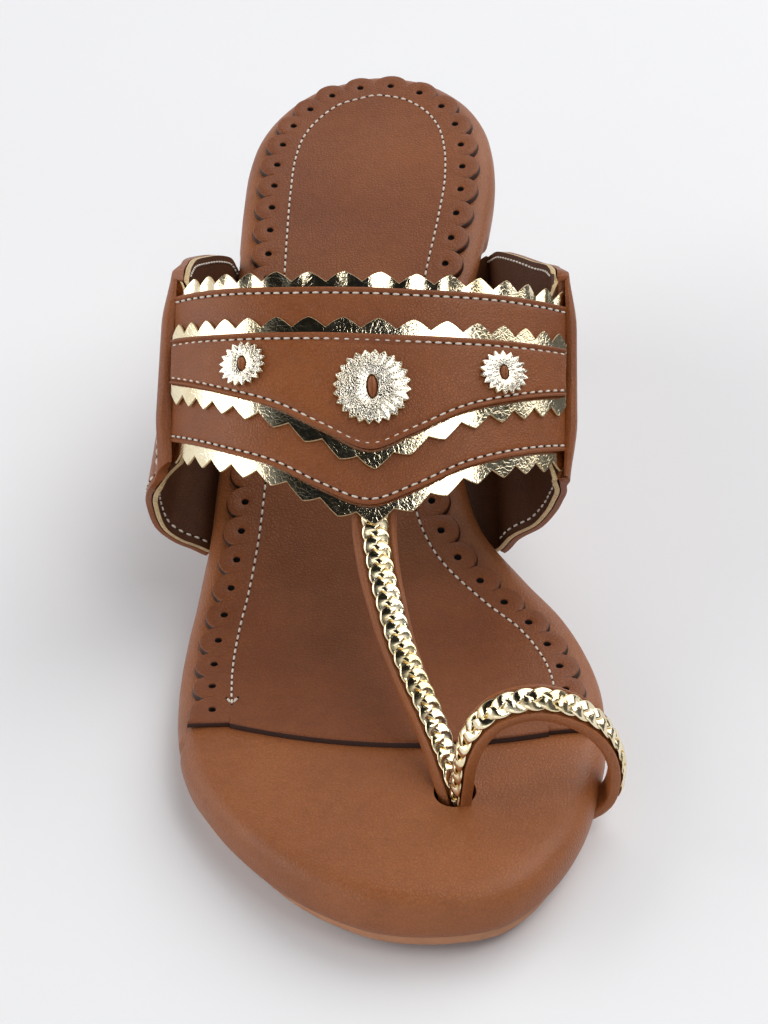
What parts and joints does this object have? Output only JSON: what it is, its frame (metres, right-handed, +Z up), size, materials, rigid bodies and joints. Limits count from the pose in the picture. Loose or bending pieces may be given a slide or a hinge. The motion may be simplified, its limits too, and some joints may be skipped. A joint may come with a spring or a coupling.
{
  "type": "kolhapuri sandal",
  "caption": "Open leather kolhapuri sandal with a banded instep, gold pinked trims and rosettes, a braided toe strap, a toe ring and a block heel",
  "frame": {"origin": "on the floor, at the flat rest under the middle of the ball of the foot", "axes": "+Y from the toe toward the heel, +X toward the big toe side, +Z up from the floor"},
  "size_m": [0.0914, 0.229, 0.079],
  "materials": {
    "upper_leather": "smooth tan leather with a soft sheen",
    "lining_leather": "smooth tan lining leather, slightly duller",
    "wrap_leather": "smooth tan leather drawn over the bed and the heel",
    "sock_leather": "tan leather, perforated along its scalloped edge",
    "foil": "crinkled metallic gold foil on leather",
    "outsole": "matte light tan resin sole",
    "tip": "matte brown heel tip"
  },
  "bodies": {
    "root": {"outsole": "outsole", "heel": "wrap_leather", "heel_tip": "tip", "footbed": "wrap_leather", "sock_lining": "sock_leather", "upper": "lining_leather", "back_trim": "foil", "front_trim": "foil", "back_strip": "upper_leather", "front_strip": "upper_leather", "middle_back_trim": "foil", "middle_front_trim": "foil", "middle_band": "upper_leather", "lateral_panel": "upper_leather", "medial_panel": "upper_leather", "centre_rosette": "foil", "centre_thong": "upper_leather", "lateral_rosette": "foil", "lateral_thong": "upper_leather", "medial_rosette": "foil", "medial_thong": "upper_leather", "t_strap_braid": "foil", "toe_loop_braid": "foil"}
  },
  "joints": []
}
